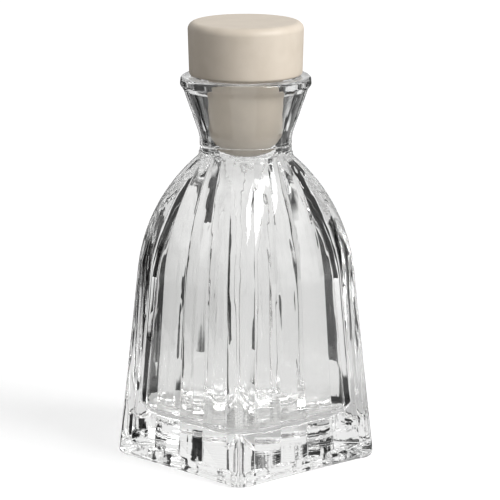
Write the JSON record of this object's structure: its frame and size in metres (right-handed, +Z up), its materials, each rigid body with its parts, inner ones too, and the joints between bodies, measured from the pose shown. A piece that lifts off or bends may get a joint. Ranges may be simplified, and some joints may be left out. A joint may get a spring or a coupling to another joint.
{
  "type": "bitters bottle",
  "caption": "Clear glass bottle with a panelled square body, round shoulder, narrow waist and funnel mouth, closed by a beige T stopper that pulls out.",
  "frame": {"origin": "middle of the flat base that the bottle stands on", "axes": "+Z up along the neck and the stopper; the four faces of the body look along +X, -X, +Y and -Y"},
  "size_m": [0.061, 0.061, 0.1424],
  "materials": {
    "clear_glass": "polished clear",
    "beige_plastic": "smooth satin moulding",
    "beige_elastomer": "matt moulding"
  },
  "bodies": {
    "bottle": {"bottle_glass": "clear_glass"},
    "stopper": {"stopper_head": "beige_plastic", "stopper_shank": "beige_elastomer"}
  },
  "joints": [
    {"name": "stopper_pull", "type": "slide", "parent": "bottle", "child": "stopper", "axis": [0, 0, 1], "range_m": [0, 0.06]}
  ]
}
